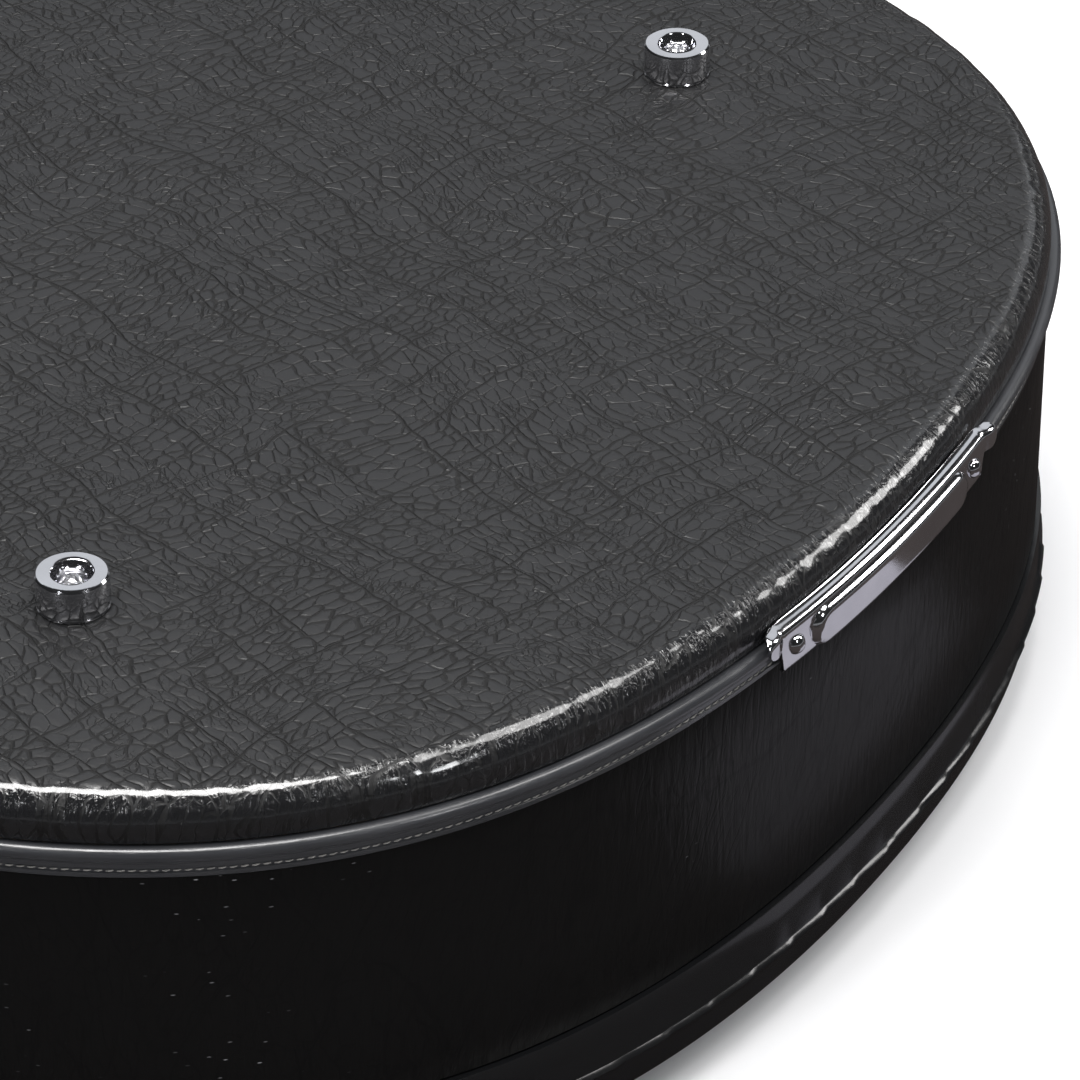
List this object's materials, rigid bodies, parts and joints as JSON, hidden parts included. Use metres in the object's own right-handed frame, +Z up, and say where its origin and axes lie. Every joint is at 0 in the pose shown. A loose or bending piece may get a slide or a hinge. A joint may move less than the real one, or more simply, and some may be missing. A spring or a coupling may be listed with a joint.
{
  "type": "acoustic guitar case",
  "caption": "Hard shell case for an acoustic guitar, lying face down on its arched lid with the footed back up; shell, latches, handle and inner flap move.",
  "frame": {"origin": "middle of the flat crown of the lid, on the surface that the case lies on, half-way along its length and on its centre line", "axes": "+X along the case towards the butt end, +Y across it towards the hinges, -Y towards the handle and latches, +Z up out of the footed back"},
  "size_m": [1.0936, 0.4698, 0.1318],
  "materials": {
    "vinyl": "black grained vinyl leathercloth, satin, fine creases, glossy on the rounded edge",
    "edge_band": "smooth satin black edge band with a raised ridge",
    "piping": "dark grey PVC piping with a row of grey stitches",
    "plywood": "raw birch plywood",
    "valance": "matte vulcanised fibre",
    "plush": "black short-pile plush",
    "ribbon": "black woven ribbon",
    "chrome": "polished chrome plate",
    "steel": "bright steel",
    "grip": "black moulded grip with a fine grain"
  },
  "bodies": {
    "lid": {"lid_cover": "vinyl", "lid_band": "edge_band", "lid_panel": "plywood", "lid_rim": "plywood", "lid_pad": "plush", "latch_catch_1": "chrome", "latch_catch_2": "chrome", "latch_catch_3": "chrome", "latch_catch_4": "chrome", "hinge_lid_leaf_1": "chrome", "hinge_lid_leaf_2": "chrome", "hinge_pin_1": "steel", "hinge_pin_2": "steel"},
    "shell": {"back_cover": "vinyl", "back_panel": "plywood", "side_cover": "vinyl", "shell_rim": "plywood", "edge_piping": "piping", "seam_valance": "valance", "piping_joint_plate": "chrome", "plate_rivet_1": "chrome", "plate_rivet_2": "chrome", "foot_1": "chrome", "foot_2": "chrome", "foot_3": "chrome", "foot_4": "chrome", "foot_screw_1": "steel", "foot_screw_2": "steel", "foot_screw_3": "steel", "foot_screw_4": "steel", "side_bolster": "plush", "back_pad": "plush", "neck_cradle": "plush", "accessory_box": "plush", "hinge_shell_leaf_1": "chrome", "hinge_shell_leaf_2": "chrome", "latch_base_1": "chrome", "latch_base_2": "chrome", "latch_base_3": "chrome", "latch_base_4": "chrome", "handle_bracket_1": "chrome", "handle_bracket_2": "chrome", "handle_pin_1": "steel", "handle_pin_2": "steel"},
    "lever_1": {"latch_lever_1": "chrome"},
    "lever_2": {"latch_lever_2": "chrome"},
    "lever_3": {"latch_lever_3": "chrome"},
    "lever_4": {"latch_lever_4": "chrome"},
    "claw_1": {"latch_claw_1": "chrome"},
    "claw_2": {"latch_claw_2": "chrome"},
    "claw_3": {"latch_claw_3": "chrome"},
    "claw_4": {"latch_claw_4": "chrome"},
    "handle": {"handle_grip": "grip"},
    "flap": {"accessory_flap": "plush", "flap_tab": "ribbon"}
  },
  "joints": [
    {"name": "case_hinge", "type": "hinge", "parent": "lid", "child": "shell", "pos_m": [0.32458, 0.22732, 0.03465], "axis": [-0.9855, -0.1696, 0], "range_deg": [0, 105]},
    {"name": "latch_lever_1_pivot", "type": "hinge", "parent": "shell", "child": "lever_1", "pos_m": [0.32521, -0.22649, 0.04685], "axis": [0.9979, -0.0645, 0], "range_deg": [0, 120]},
    {"name": "latch_lever_2_pivot", "type": "hinge", "parent": "shell", "child": "lever_2", "pos_m": [0.04977, -0.17105, 0.04685], "axis": [0.9495, -0.3138, 0], "range_deg": [0, 120]},
    {"name": "latch_lever_3_pivot", "type": "hinge", "parent": "shell", "child": "lever_3", "pos_m": [-0.31259, -0.08753, 0.04685], "axis": [0.9998, -0.0209, 0], "range_deg": [0, 120]},
    {"name": "latch_lever_4_pivot", "type": "hinge", "parent": "shell", "child": "lever_4", "pos_m": [-0.542, 0, 0.04685], "axis": [0, -1, 0], "range_deg": [0, 120]},
    {"name": "latch_claw_1_pivot", "type": "hinge", "parent": "lever_1", "child": "claw_1", "pos_m": [0.32506, -0.22879, 0.05385], "axis": [0.9979, -0.0645, 0], "range_deg": [-140, 0]},
    {"name": "latch_claw_2_pivot", "type": "hinge", "parent": "lever_2", "child": "claw_2", "pos_m": [0.04905, -0.17323, 0.05385], "axis": [0.9495, -0.3138, 0], "range_deg": [-140, 0]},
    {"name": "latch_claw_3_pivot", "type": "hinge", "parent": "lever_3", "child": "claw_3", "pos_m": [-0.31264, -0.08983, 0.05385], "axis": [0.9998, -0.0209, 0], "range_deg": [-140, 0]},
    {"name": "latch_claw_4_pivot", "type": "hinge", "parent": "lever_4", "child": "claw_4", "pos_m": [-0.5443, 0, 0.05385], "axis": [0, -1, 0], "range_deg": [-140, 0]},
    {"name": "handle_swing", "type": "hinge", "parent": "shell", "child": "handle", "pos_m": [0.1455, -0.17885, 0.084], "axis": [-1, 0, 0], "range_deg": [0, 160]},
    {"name": "accessory_flap_hinge", "type": "hinge", "parent": "shell", "child": "flap", "pos_m": [-0.2118, 0.05065, 0.059], "axis": [1, 0, 0], "range_deg": [0, 90]}
  ],
  "couplings": [
    {"joint": "latch_claw_1_pivot", "follows": "latch_lever_1_pivot", "ratio": -1.1666},
    {"joint": "latch_claw_2_pivot", "follows": "latch_lever_2_pivot", "ratio": -1.1666},
    {"joint": "latch_claw_3_pivot", "follows": "latch_lever_3_pivot", "ratio": -1.1666},
    {"joint": "latch_claw_4_pivot", "follows": "latch_lever_4_pivot", "ratio": -1.1666},
    {"joint": "accessory_flap_hinge", "follows": "case_hinge", "ratio": 0.857}
  ]
}
